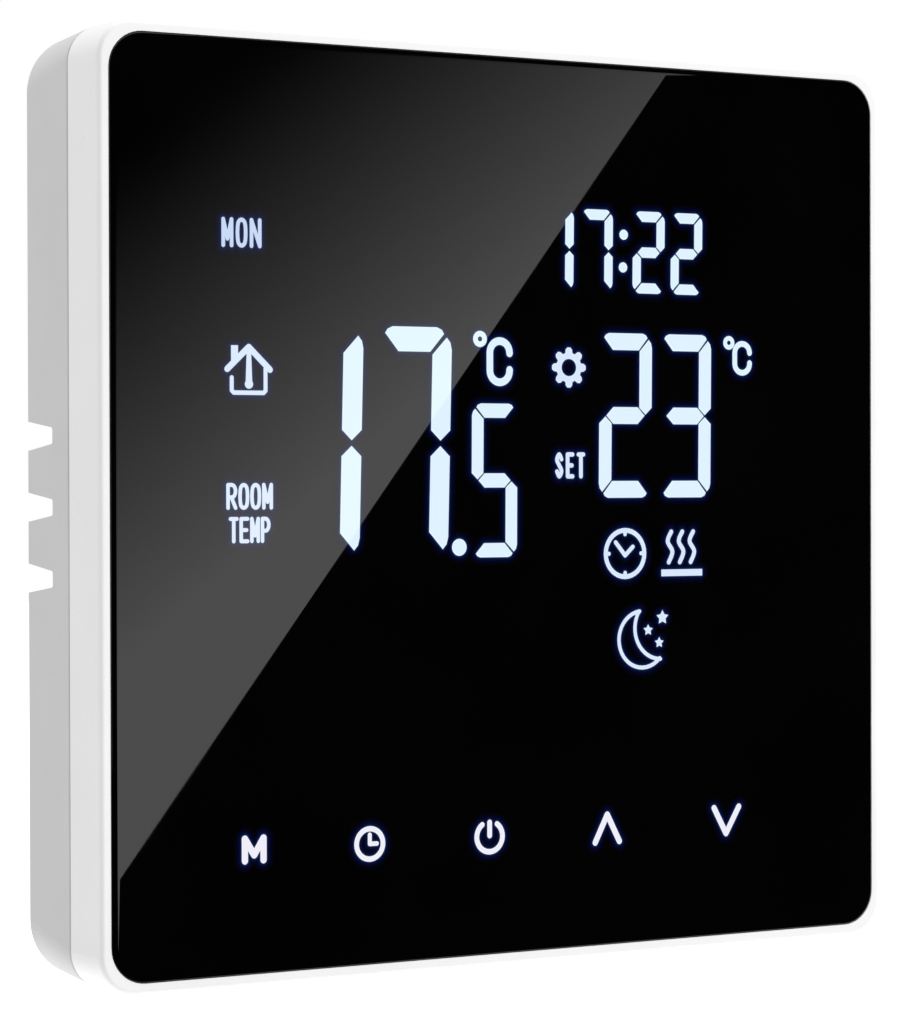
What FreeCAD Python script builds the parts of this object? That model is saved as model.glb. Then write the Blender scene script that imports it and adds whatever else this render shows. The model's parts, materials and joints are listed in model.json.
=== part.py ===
"""Wall thermostat with a glass touch panel, for a flush wall box.

Frame: millimetres, +Z up, +X to the right of a person who faces it, front towards -Y.
The origin is the middle of the mounting plane, where the housing meets the wall.
Everything with negative y is in front of the wall, everything with positive y is in the box.
"""
import FreeCAD, Part
import os
from math import pi

V = FreeCAD.Vector

# ---------------------------------------------------------------- driving dimensions
FACE = 86.0                 # outline of the square housing
CORNER = 3.5                # outer corner radius at the front and at the seam
WALL_CORNER = 5.5           # outer corner radius at the wall
INNER_CORNER = 3.4          # corner radius inside both halves
WALL = 1.6                  # wall of the visible housing
LIP_Y = -15.1               # front edge of the white frame
LIP_ROUND = 0.5             # rounding of that edge
SEAM_ROUND = 0.15           # rounding of the edges at the seam
REAR_ROUND = 0.3            # rounding of the edge at the wall
SEAM = (-8.9, -8.7)         # gap between the frame and the base shell

GLASS = 83.8                # outline of the cover glass
GLASS_CORNER = 3.3
GLASS_Y = (-15.3, -13.5)    # front and back of the glass
GLASS_EDGE = (0.5, 0.3)     # width and depth of the ground edge
GLASS_GAP = 0.05            # between glass and frame
LEDGE_Y = (-13.3, -12.1)    # ledge that the glass is stuck to

LCD_AT = (-1.8, 6.2)        # middle of the display, x and z
LCD_HALF = (32.6, 25.6)
LCD_Y = (-13.25, -11.4)
LCD_SHELF = 3.0             # contact shelf along the display's lower edge

KEY_X = (-27.7, -15.8, -2.95, 10.25, 24.15)
KEY_Z = -30.8
KEY_WELL = 4.2              # radius of a light well
KEY_BAR = (-33.4, 30.0, -36.0, -26.0)

BOARD_HALF = 39.4
BOARD_Y = (-9.4, -8.2)
BOSS_AT = 36.6              # rear cover bosses, x and z
COVER_HALF = 40.9
COVER_Y = (-6.9, -5.9)
COVER_RIM_Y = -10.0

HEADER_Z = 14.0
HEADER_PITCH = 2.54
HEADER_COLUMNS = 7

DECK_Y = (-5.4, -3.9)       # inner floor of the base shell
PLATE_Y = (-1.2, 0.0)       # steel mounting plate
PLATE_HALF = 39.0
SLOT_AT = 30.0              # wall screws are 60 mm apart
SLOT_LENGTH = 8.0
SLOT_RADIUS = 2.1
PLATE_SCREW_AT = 34.0
CATCH_AT = (36.0, 20.0)
NOTCH_Z = (-6.45, 0.0, 6.45)
NOTCH_DEPTH = 5.45
NOTCH_OUTER = 2.7           # width at the wall
NOTCH_INNER = 1.45          # width at the closed end
NOTCH_ROUND = 0.25

BOX_HALF = 25.0             # power box
BOX_CORNER = 3.0
BOX_WALL = 1.8
BOX_END = 26.5              # rear face of the power box
BOX_POSTS = ((21.4, 21.4), (-21.4, 21.4), (21.6, -8.0), (-21.6, -8.0))
POWER_Y = (3.0, 4.6)        # power board
POWER_HALF = 22.9

TERMINALS = 6
PITCH = 7.5
TERMINAL_Z = -17.4
TERMINAL_HALF = (22.5, 5.7)
TERMINAL_Y = (4.6, 24.6)
BAR_Y = (12.9, 14.1)        # current bar in each terminal
CLAMP_Y = (8.0, 15.8)       # rising clamp, fully open
SCREW_HEAD_Y = (21.6, 23.9)


# ---------------------------------------------------------------- shape helpers
def block(x0, x1, y0, y1, z0, z1):
    """Box between two corners."""
    return Part.makeBox(x1 - x0, y1 - y0, z1 - z0, V(x0, y0, z0))


def post(x, z, radius, y0, y1):
    """Cylinder along Y."""
    return Part.makeCylinder(radius, y1 - y0, V(x, y0, z), V(0, 1, 0))


def taper(x, z, radius0, radius1, y0, y1):
    """Cone along Y, from radius0 at y0 to radius1 at y1."""
    return Part.makeCone(radius0, radius1, y1 - y0, V(x, y0, z), V(0, 1, 0))


def ring(x, z, outer, inner, y0, y1):
    return post(x, z, outer, y0, y1).cut(post(x, z, inner, y0, y1))


def rounded_wire(half_x, half_z, radius, y, x=0.0, z=0.0):
    """Rectangle with round corners in the plane of the wall."""
    edges = []
    bend = radius * (1 - 0.5 ** 0.5)
    for sx, sz in ((1, 1), (-1, 1), (-1, -1), (1, -1)):
        first = V(x + sx * half_x, y, z + sz * (half_z - radius))
        last = V(x + sx * (half_x - radius), y, z + sz * half_z)
        if sx != sz:
            first, last = last, first
        middle = V(x + sx * (half_x - bend), y, z + sz * (half_z - bend))
        if edges:
            edges.append(Part.makeLine(edges[-1].lastVertex(True).Point, first))
        edges.append(Part.Arc(first, middle, last).toShape())
    edges.append(Part.makeLine(edges[-1].lastVertex(True).Point, edges[0].firstVertex(True).Point))
    return Part.Wire(edges)


def slab(half_x, half_z, radius, y0, y1, x=0.0, z=0.0):
    """Plate with round corners, parallel to the wall."""
    face = Part.Face(rounded_wire(half_x, half_z, radius, y0, x, z))
    return face.extrude(V(0, y1 - y0, 0))


def four(x, z):
    return ((x, z), (-x, z), (-x, -z), (x, -z))


def edges_at(shape, y):
    """The edges that lie in the plane at y."""
    return [e for e in shape.Edges if all(abs(v.Y - y) < 1e-6 for v in (e.Vertexes))]


def group(solids):
    return Part.makeCompound(solids)


# ---------------------------------------------------------------- front unit
def glass_panel():
    half = GLASS / 2
    width, depth = GLASS_EDGE
    shoulder = GLASS_Y[0] + depth
    front = rounded_wire(half - width, half - width, GLASS_CORNER - width, GLASS_Y[0])
    back = rounded_wire(half, half, GLASS_CORNER, shoulder)
    edge = Part.makeLoft([front, back], True, True)
    return edge.fuse(slab(half, half, GLASS_CORNER, shoulder, GLASS_Y[1])).removeSplitter()


def lcd_window():
    """Opening in the ledge for the display and its pins."""
    x, z = LCD_AT
    low = z - LCD_HALF[1] - 1.2
    high = z + LCD_HALF[1] + 0.4
    return block(x - LCD_HALF[0] - 0.4, x + LCD_HALF[0] + 0.4, LEDGE_Y[0] - 1, LEDGE_Y[1] + 1, low, high)


def key_window():
    x0, x1, z0, z1 = KEY_BAR
    return block(x0 - 0.5, x1 + 0.5, LEDGE_Y[0] - 1, LEDGE_Y[1] + 1, z0 - 0.5, z1 + 0.5)


def panel_adhesive():
    tape = slab(GLASS / 2 - 1, GLASS / 2 - 1, GLASS_CORNER - 1, GLASS_Y[1], LEDGE_Y[0])
    return tape.cut(lcd_window()).cut(key_window())


def front_frame():
    half = FACE / 2
    shell = slab(half, half, CORNER, LIP_Y, SEAM[0])
    shell = shell.makeFillet(LIP_ROUND, edges_at(shell, LIP_Y))
    shell = shell.makeFillet(SEAM_ROUND, edges_at(shell, SEAM[0]))
    pocket = GLASS / 2 + GLASS_GAP
    shell = shell.cut(slab(pocket, pocket, GLASS_CORNER + GLASS_GAP, LIP_Y - 1, LEDGE_Y[0]))
    inside = half - WALL
    shell = shell.cut(slab(inside, inside, INNER_CORNER, LEDGE_Y[1], SEAM[0] + 1))
    shell = shell.cut(lcd_window()).cut(key_window())
    for x, z in four(BOSS_AT, BOSS_AT):
        shell = shell.fuse(post(x, z, 2.4, LEDGE_Y[1], COVER_Y[0]))
        shell = shell.cut(post(x, z, 0.9, LEDGE_Y[1] + 0.3, COVER_Y[0]))
    return shell.removeSplitter()


def lcd_cell():
    """Two glass plates; the rear one is longer and leaves a contact shelf."""
    x, z = LCD_AT
    middle = (LCD_Y[0] + LCD_Y[1]) / 2
    rear = slab(LCD_HALF[0], LCD_HALF[1], 0.3, middle, LCD_Y[1], x, z)
    raised = z + LCD_SHELF / 2
    front = slab(LCD_HALF[0], LCD_HALF[1] - LCD_SHELF / 2, 0.3, LCD_Y[0], middle, x, raised)
    return front.fuse(rear)


def lcd_pins():
    """Pins that clip on the contact shelf and run back through the board."""
    x, z = LCD_AT
    low = z - LCD_HALF[1]
    shelf = (LCD_Y[0] + LCD_Y[1]) / 2
    pins = []
    for step in range(-12, 13):
        px = x + step * 2.0
        leg = block(px - 0.2, px + 0.2, shelf - 0.3, BOARD_Y[0] + 0.9, low - 0.5, low)
        tab = block(px - 0.2, px + 0.2, shelf - 0.3, shelf, low, low + 1.4)
        pins.append(leg.fuse(tab))
    return group(pins)


def backlight_tray():
    x, z = LCD_AT
    tray = slab(LCD_HALF[0], LCD_HALF[1], 0.6, LCD_Y[1], BOARD_Y[0] - 0.1, x, z)
    return tray.cut(slab(LCD_HALF[0] - 0.9, LCD_HALF[1] - 0.9, 0.3, LCD_Y[1], BOARD_Y[0] - 0.4, x, z))


def backlight_sheet(y0, y1):
    """Plate in the tray, 1.6 mm short of its right wall to leave room for the lamps."""
    x, z = LCD_AT
    return slab(LCD_HALF[0] - 1.8, LCD_HALF[1] - 1.0, 0.3, y0, y1, x - 0.8, z)


def backlight_leds():
    x = LCD_AT[0] + LCD_HALF[0] - 1.75
    heights = [LCD_AT[1] + step * 13.0 for step in (-1.5, -0.5, 0.5, 1.5)]
    return group([block(x - 0.7, x + 0.7, -10.9, -9.8, z - 1.6, z + 1.6) for z in heights])


def key_light_guide():
    x0, x1, z0, z1 = KEY_BAR
    bar = block(x0, x1, LEDGE_Y[0] + 0.1, BOARD_Y[0] - 0.05, z0, z1)
    for x in KEY_X:
        bar = bar.cut(post(x, KEY_Z, KEY_WELL, LEDGE_Y[0], BOARD_Y[0]))
    return bar


def touch_pads():
    return group([ring(x, KEY_Z, KEY_WELL - 0.2, 2.4, GLASS_Y[1] + 0.05, BOARD_Y[0]) for x in KEY_X])


def key_leds():
    y0, y1 = BOARD_Y[0] - 0.8, BOARD_Y[0]
    return group([block(x - 0.8, x + 0.8, y0, y1, KEY_Z - 0.8, KEY_Z + 0.8) for x in KEY_X])


def main_board():
    board = slab(BOARD_HALF, BOARD_HALF, 1.0, *BOARD_Y)
    for x, z in four(BOSS_AT, BOSS_AT):
        board = board.cut(slab(3.2, 3.2, 0.8, BOARD_Y[0] - 1, BOARD_Y[1] + 1, x * 1.01, z * 1.01))
    return board.cut(lcd_pins()).cut(header_pins())


def chip(x, z, half_x, half_z, height, y=BOARD_Y[1]):
    """Moulded chip on the rear of a board, with a row of legs along two sides."""
    body = block(x - half_x, x + half_x, y + 0.1, y + height, z - half_z, z + half_z)
    legs = int(2 * half_z / 1.0)
    for number in range(legs):
        leg_z = z - half_z + 0.5 + number
        for side in (-1, 1):
            reach = sorted((x + side * (half_x - 0.2), x + side * (half_x + 0.8)))
            body = body.fuse(block(reach[0], reach[1], y, y + 0.25, leg_z - 0.2, leg_z + 0.2))
    return body


def clock_crystal():
    return slab(1.6, 0.8, 0.2, BOARD_Y[1], BOARD_Y[1] + 0.8, -3.0, -8.0)


def backup_cell():
    can = post(36.0, 10.0, 3.4, BOARD_Y[0] - 2.1, BOARD_Y[0])
    return can.makeFillet(0.3, edges_at(can, BOARD_Y[0] - 2.1))


def room_sensor():
    """Thermistor bead on two short leads."""
    bead = Part.makeSphere(1.1, V(-30.0, -6.7, -36.0))
    leads = [post(-30.0 + side * 0.5, -36.0, 0.2, BOARD_Y[1], -6.8) for side in (-1, 1)]
    return bead.fuse(leads)


def header_grid():
    """Places of the header's pins, x and z."""
    middle = (HEADER_COLUMNS - 1) / 2
    columns = [(n - middle) * HEADER_PITCH for n in range(HEADER_COLUMNS)]
    return [(x, HEADER_Z + side * HEADER_PITCH / 2) for x in columns for side in (-1, 1)]


def header_pins():
    y0, y1 = BOARD_Y[0] + 0.1, -0.2
    return group([block(x - 0.3, x + 0.3, y0, y1, z - 0.3, z + 0.3) for x, z in header_grid()])


def header_strip():
    half_x = HEADER_COLUMNS * HEADER_PITCH / 2
    strip = block(-half_x, half_x, BOARD_Y[1], -5.7, HEADER_Z - HEADER_PITCH, HEADER_Z + HEADER_PITCH)
    return strip.cut(header_pins())


def header_opening(y0, y1, room):
    half_x = HEADER_COLUMNS * HEADER_PITCH / 2 + room
    half_z = HEADER_PITCH + room
    return block(-half_x, half_x, y0, y1, HEADER_Z - half_z, HEADER_Z + half_z)


def rear_cover():
    """Back of the front unit, with a rim round the board and four snap posts."""
    cover = slab(COVER_HALF, COVER_HALF, 3.0, COVER_RIM_Y, COVER_Y[1])
    cover = cover.cut(slab(COVER_HALF - 1, COVER_HALF - 1, 2.0, COVER_RIM_Y - 1, COVER_Y[0]))
    cover = cover.cut(header_opening(COVER_Y[0] - 1, COVER_Y[1] + 1, 0.6))
    for x in (-33.0, -31.0, -29.0, -27.0):
        cover = cover.cut(slab(0.7, 3.0, 0.6, COVER_Y[0] - 1, COVER_Y[1] + 1, x, -36.0))
    cover = cover.cut(post(-30.0, -36.0, 1.5, COVER_Y[0] - 1, COVER_Y[1] + 1))
    for x, z in four(BOSS_AT, BOSS_AT):
        cover = cover.cut(post(x, z, 1.1, COVER_Y[0] - 1, COVER_Y[1] + 1))
        cover = cover.cut(post(x, z, 1.95, COVER_Y[1] - 0.55, COVER_Y[1] + 1))
    for x, z in four(*CATCH_AT):
        snap = block(x - 1.5, x + 1.5, COVER_Y[1] - 0.5, -2.2, z - 2.2, z + 2.2)
        snap = snap.makeChamfer(0.5, edges_at(snap, -2.2))
        cover = cover.fuse(snap)
    return cover.removeSplitter()


def rear_cover_screws():
    screws = []
    for x, z in four(BOSS_AT, BOSS_AT):
        head = post(x, z, 1.75, COVER_Y[1] - 0.5, COVER_Y[1] - 0.05)
        shank = post(x, z, 0.85, LEDGE_Y[1] + 1.0, COVER_Y[1] - 0.5)
        cross = block(x - 0.9, x + 0.9, COVER_Y[1] - 0.3, COVER_Y[1], z - 0.18, z + 0.18)
        cross = cross.fuse(block(x - 0.18, x + 0.18, COVER_Y[1] - 0.3, COVER_Y[1], z - 0.9, z + 0.9))
        screws.append(head.fuse(shank).cut(cross))
    return group(screws)


# ---------------------------------------------------------------- base
def air_notch(z, side):
    """Tapered notch in a side wall, open at the wall plane, with a flat closed end."""
    past = 1.0
    flare = (NOTCH_OUTER - NOTCH_INNER) / 2 / NOTCH_DEPTH
    mouth = NOTCH_OUTER / 2 + past * flare
    end = NOTCH_INNER / 2
    x = side * (FACE / 2 + past)
    corners = [
        V(x, past, z - mouth),
        V(x, -NOTCH_DEPTH, z - end),
        V(x, -NOTCH_DEPTH, z + end),
        V(x, past, z + mouth),
    ]
    outline = Part.Face(Part.makePolygon(corners + corners[:1]))
    notch = outline.extrude(V(-side * (WALL + 2 * past), 0, 0))
    closed_end = [e for e in edges_at(notch, -NOTCH_DEPTH) if abs(e.Length - WALL - 2 * past) < 1e-6]
    return notch.makeFillet(NOTCH_ROUND, closed_end)


def deck_openings():
    """What is cut out of the base's inner floor."""
    y0, y1 = DECK_Y[0] - 1, DECK_Y[1] + 1
    cuts = [header_opening(y0, y1, 0.6)]
    for side in (-1, 1):
        cuts.append(slab(4.7, 5.2, 1.0, y0, y1, side * 30.5, 0))
        edge = sorted((side * (FACE / 2 - WALL), side * 39.0))
        cuts.append(block(edge[0], edge[1], y0, y1, -8.8, 8.8))
    for x, z in four(*CATCH_AT):
        cuts.append(block(x - 2.7, x + 2.7, y0, y1, z - 2.7, z + 2.7))
    for column in range(-3, 4):
        cuts.append(slab(0.8, 6.5, 0.7, y0, y1, column * 4.0, -7.0))
    for x, z in BOX_POSTS:
        cuts.append(post(x, z, 1.25, y0, y1))
        cuts.append(taper(x, z, 2.35, 1.25, DECK_Y[0], DECK_Y[0] + 1.1))
    return cuts


def base_shell():
    half = FACE / 2
    inside = half - WALL
    front = rounded_wire(half, half, CORNER, SEAM[1])
    back = rounded_wire(half, half, WALL_CORNER, 0)
    shell = Part.makeLoft([front, back], True, True)
    shell = shell.makeFillet(SEAM_ROUND, edges_at(shell, SEAM[1]))
    shell = shell.makeFillet(REAR_ROUND, edges_at(shell, 0))
    shell = shell.cut(slab(inside, inside, INNER_CORNER, SEAM[1] - 1, 1))
    shell = shell.fuse(slab(inside + 0.2, inside + 0.2, INNER_CORNER, *DECK_Y))
    for x, z in four(PLATE_SCREW_AT, PLATE_SCREW_AT):
        shell = shell.fuse(post(x, z, 3.0, DECK_Y[1], PLATE_Y[0]))
    for x, z in four(15.0, 19.0):
        shell = shell.fuse(post(x, z, 1.5, DECK_Y[1], POWER_Y[0]))
    shell = shell.cut(group(deck_openings()))
    for x, z in four(PLATE_SCREW_AT, PLATE_SCREW_AT):
        shell = shell.cut(post(x, z, 1.0, DECK_Y[0] + 0.6, PLATE_Y[0]))
    for z in NOTCH_Z:
        shell = shell.cut(air_notch(z, -1)).cut(air_notch(z, 1))
    pry_notch = block(-4, 4, SEAM[1] - 1, SEAM[1] + 1.2, -half - 1, -inside + 0.1)
    return shell.cut(pry_notch).removeSplitter()


def mounting_plate():
    plate = slab(PLATE_HALF, PLATE_HALF, 5.0, *PLATE_Y)
    plate = plate.cut(slab(BOX_HALF + 0.4, BOX_HALF + 0.4, BOX_CORNER + 0.4, -2, 1))
    for side in (-1, 1):
        plate = plate.cut(slab(SLOT_LENGTH / 2, SLOT_RADIUS, SLOT_RADIUS - 1e-4, -2, 1, side * SLOT_AT, 0))
    for x, z in four(PLATE_SCREW_AT, PLATE_SCREW_AT):
        plate = plate.cut(taper(x, z, 1.05, 2.15, *PLATE_Y))
    return plate


def mounting_plate_screws():
    screws = []
    for x, z in four(PLATE_SCREW_AT, PLATE_SCREW_AT):
        head = taper(x, z, 0.95, 2.05, *PLATE_Y)
        shank = post(x, z, 0.95, DECK_Y[0] + 1.0, PLATE_Y[0])
        cross = block(x - 1.0, x + 1.0, -0.5, 0, z - 0.2, z + 0.2)
        cross = cross.fuse(block(x - 0.2, x + 0.2, -0.5, 0, z - 1.0, z + 1.0))
        screws.append(head.fuse(shank).cut(cross))
    return group(screws)


def catch_springs():
    """Spring-steel clips, one round each snap post."""
    springs = []
    for x, z in four(*CATCH_AT):
        foot = block(x - 1.9, x + 1.9, -1.55, -1.25, z - 2.4, z + 2.4)
        for side in (-1, 1):
            leaf = sorted((x + side * 1.55, x + side * 1.9))
            foot = foot.fuse(block(leaf[0], leaf[1], -5.1, -1.25, z - 2.4, z + 2.4))
            ear = sorted((x + side * 1.55, x + side * 2.5))
            foot = foot.fuse(block(ear[0], ear[1], -5.3, -5.0, z - 1.5, z + 1.5))
        springs.append(foot.removeSplitter())
    return group(springs)


def power_box():
    """Tray that holds the mains parts, open towards the base's floor."""
    box = slab(BOX_HALF, BOX_HALF, BOX_CORNER, DECK_Y[1], BOX_END)
    box = box.makeFillet(1.0, edges_at(box, BOX_END))
    inner = BOX_HALF - BOX_WALL
    box = box.cut(slab(inner, inner, BOX_CORNER - BOX_WALL, DECK_Y[1] - 1, BOX_END - BOX_WALL))
    for x, z in BOX_POSTS:
        column = post(x, z, 2.4, DECK_Y[1], 8.0).common(slab(24, 24, 2, -9, 30))
        box = box.fuse(column).cut(post(x, z, 1.15, DECK_Y[1], 6.5))
    for side in (-1, 1):
        rib = sorted((side * 22.2, side * (inner + 0.2)))
        box = box.fuse(block(rib[0], rib[1], POWER_Y[1], BOX_END - 1, 3.0, 5.0))
    box = box.fuse(block(-2.0, 0.0, POWER_Y[1], BOX_END - 1, 22.2, inner + 0.2))
    for x in terminal_places():
        box = box.cut(post(x, TERMINAL_Z, 2.3, BOX_END - 3, BOX_END + 1))
        box = box.cut(wire_entry(x, -BOX_HALF - 1))
    for row in range(5):
        box = box.cut(slab(7.0, 0.8, 0.7, BOX_END - 3, BOX_END + 1, 0, 2.0 + row * 4.0))
    return box.removeSplitter()


def power_box_screws():
    screws = []
    for x, z in BOX_POSTS:
        head = taper(x, z, 2.25, 1.1, DECK_Y[0] + 0.05, DECK_Y[0] + 1.1)
        shank = post(x, z, 1.1, DECK_Y[0] + 1.1, 6.0)
        y0, y1 = DECK_Y[0], DECK_Y[0] + 0.6
        cross = block(x - 1.1, x + 1.1, y0, y1, z - 0.2, z + 0.2)
        cross = cross.fuse(block(x - 0.2, x + 0.2, y0, y1, z - 1.1, z + 1.1))
        screws.append(head.fuse(shank).cut(cross))
    return group(screws)


def power_board():
    board = slab(POWER_HALF, POWER_HALF, 1.0, *POWER_Y)
    for x, z in BOX_POSTS:
        board = board.cut(slab(2.9, 2.9, 0.6, POWER_Y[0] - 1, POWER_Y[1] + 1, x, z))
    return board.cut(terminal_bars())


def header_socket():
    half_x = HEADER_COLUMNS * HEADER_PITCH / 2
    z0, z1 = HEADER_Z - HEADER_PITCH, HEADER_Z + HEADER_PITCH
    socket = block(-half_x, half_x, -5.3, POWER_Y[0], z0, z1)
    for x, z in header_grid():
        socket = socket.cut(block(x - 0.36, x + 0.36, -6, 0.5, z - 0.36, z + 0.36))
        socket = socket.cut(Part.makeCone(0.9, 0.3, 0.6, V(x, -5.3, z), V(0, 1, 0)))
    return socket


# ---------------------------------------------------------------- parts on the power board
RELAY = (-18.7, 0.3, 4.6, 20.0, -9.3, 6.2)      # outside of the relay case
RELAY_SKIN = 0.6
RELAY_FLOOR_Y = (4.7, 6.4)
COIL_AT = (-11.8, -1.5)
YOKE_X = (-7.6, -6.6)
ARMATURE_Y = (16.2, 17.2)
ARMATURE_PIVOT_X = -7.1      # the armature's round end rocks on the yoke


def relay_case():
    x0, x1, y0, y1, z0, z1 = RELAY
    middle = ((x0 + x1) / 2, (z0 + z1) / 2)
    half = ((x1 - x0) / 2, (z1 - z0) / 2)
    case = slab(half[0], half[1], 0.8, y0, y1, *middle)
    case = case.makeFillet(0.4, edges_at(case, y1))
    return case.cut(slab(half[0] - RELAY_SKIN, half[1] - RELAY_SKIN, 0.3, y0 - 1, y1 - RELAY_SKIN, *middle))


def relay_base():
    x0, x1, _, _, z0, z1 = RELAY
    room = RELAY_SKIN + 0.1
    return block(x0 + room, x1 - room, RELAY_FLOOR_Y[0], RELAY_FLOOR_Y[1], z0 + room, z1 - room)


def relay_coil():
    """Winding between the two flanges of its bobbin."""
    x, z = COIL_AT
    spool = post(x, z, 3.5, 7.5, 15.1)
    for y in (7.5, 14.3):
        spool = spool.fuse(post(x, z, 3.9, y, y + 0.8))
    return spool.cut(post(x, z, 1.6, 7, 16))


def relay_core():
    return post(COIL_AT[0], COIL_AT[1], 1.55, 7.4, 15.8)


def relay_yoke():
    foot = block(-14.5, YOKE_X[1], 6.4, 7.4, -5.5, 2.5)
    return foot.fuse(block(YOKE_X[0], YOKE_X[1], 7.4, 16.1, -5.5, 2.5))


def relay_armature():
    """Iron plate with a round rocking end, and a leaf with a contact button at its free end."""
    y0, y1 = ARMATURE_Y
    plate = block(-16.0, ARMATURE_PIVOT_X, y0, y1, -5.3, 2.3)
    pivot = V(ARMATURE_PIVOT_X, (y0 + y1) / 2, -5.3)
    plate = plate.fuse(Part.makeCylinder((y1 - y0) / 2, 7.6, pivot, V(0, 0, 1)))
    leaf = block(-17.95, -15.5, 16.5, 16.7, -3.0, 0.0)
    button = post(-17.2, -1.5, 0.65, 15.7, 16.6)
    return plate.fuse(leaf).fuse(button)


def relay_fixed_contact():
    blade = block(-17.9, -16.5, 6.4, 14.8, -3.0, 0.0)
    return blade.fuse(post(-17.2, -1.5, 0.65, 14.8, 15.2))


def transformer_core():
    """Pair of ferrite E cores round the bobbin."""
    outer = block(3.5, 18.5, 6.5, 16.5, -4.5, 0.5)
    return outer.cut(block(5.5, 9.2, 8.5, 14.5, -5, 1)).cut(block(12.8, 16.5, 8.5, 14.5, -5, 1))


def transformer_winding():
    foot = block(4.5, 17.5, POWER_Y[1], 6.5, -9.0, 5.0)
    coil = block(5.6, 16.4, 8.6, 14.4, -7.5, 3.5)
    flanges = block(4.5, 17.5, 6.5, 16.0, -9.0, -7.5).fuse(block(4.5, 17.5, 6.5, 16.0, 3.5, 5.0))
    return foot.fuse(coil).fuse(flanges).cut(transformer_core())


def can(x, z, radius, height):
    """Round capacitor can with a crimp groove near its foot."""
    y0 = POWER_Y[1]
    body = post(x, z, radius, y0, y0 + height)
    body = body.makeFillet(0.5, edges_at(body, y0 + height))
    return body.cut(ring(x, z, radius + 1, radius - 0.3, y0 + 1.5, y0 + 2.2))


def line_capacitor():
    y0 = POWER_Y[1]
    return slab(6.0, 2.7, 0.3, y0, y0 + 11.0, 8.5, 19.2)


def varistor():
    """Coated disc that stands on the board on two leads."""
    disc = Part.makeCylinder(4.6, 3.4, V(6.0, 11.2, 9.8), V(0, 0, 1))
    disc = disc.makeFillet(1.0, [e for e in disc.Edges if e.Closed and abs(e.Length - 9.2 * pi) < 0.1])
    leads = [post(6.0 + side * 2.5, 11.5, 0.4, POWER_Y[1], 9.0) for side in (-1, 1)]
    return disc.fuse(leads)


def fuse():
    y0 = POWER_Y[1]
    body = post(17.0, 11.3, 4.1, y0 + 0.4, y0 + 8.0)
    body = body.makeFillet(0.4, edges_at(body, y0 + 8.0))
    return body.fuse([post(17.0 + side * 2.5, 11.3, 0.4, y0, y0 + 1) for side in (-1, 1)])


def rectifier():
    body = block(6.0, 12.0, 0.8, 2.7, -5.0, 0.0)
    legs = [block(6.5 + n * 1.5, 7.0 + n * 1.5, 2.4, 3.0, -6.0, 1.0) for n in range(4)]
    return body.fuse(legs)


# ---------------------------------------------------------------- terminals
def terminal_places():
    return [(n - (TERMINALS - 1) / 2) * PITCH for n in range(TERMINALS)]


def wire_entry(x, z0):
    return block(x - 2.0, x + 2.0, 9.0, BAR_Y[0], z0, TERMINAL_Z)


def terminal_bars():
    """Current bars, each with a leg that is soldered into the power board."""
    bars = []
    for x in terminal_places():
        bar = block(x - 1.9, x + 1.9, BAR_Y[0], BAR_Y[1], -21.0, -12.4)
        leg = block(x - 0.6, x + 0.6, POWER_Y[0] - 0.5, BAR_Y[1], -13.2, -12.4)
        bars.append(bar.fuse(leg).removeSplitter())
    return group(bars)


def terminal_block():
    half_x, half_z = TERMINAL_HALF
    body = block(-half_x, half_x, TERMINAL_Y[0], TERMINAL_Y[1], TERMINAL_Z - half_z + 0.2, TERMINAL_Z + half_z)
    for x in terminal_places():
        body = body.cut(block(x - 3.1, x + 3.1, 7.8, 20.0, -21.3, -13.3))
        body = body.cut(post(x, TERMINAL_Z, 1.45, 19, 22))
        body = body.cut(post(x, TERMINAL_Z, 2.1, 21.4, TERMINAL_Y[1] + 1))
        body = body.cut(wire_entry(x, TERMINAL_Z - half_z - 1))
    return body.cut(terminal_bars())


def terminal_screw(x):
    head = post(x, TERMINAL_Z, 1.9, *SCREW_HEAD_Y)
    shank = post(x, TERMINAL_Z, 1.25, BAR_Y[1] + 0.05, SCREW_HEAD_Y[0])
    top = SCREW_HEAD_Y[1]
    slot = block(x - 2, x + 2, top - 0.9, top, TERMINAL_Z - 0.3, TERMINAL_Z + 0.3)
    return head.fuse(shank).cut(slot)


def terminal_clamp(x):
    """Steel cage round the bar; its top is threaded on the screw."""
    y0, y1 = CLAMP_Y
    cage = block(x - 2.9, x + 2.9, y0, y1, TERMINAL_Z - 3.2, TERMINAL_Z + 3.2)
    cage = cage.cut(block(x - 2.3, x + 2.3, y0 + 1.0, y1 - 1.4, TERMINAL_Z - 4, TERMINAL_Z + 4))
    return cage.cut(post(x, TERMINAL_Z, 1.3, y1 - 2, y1 + 1))


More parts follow.
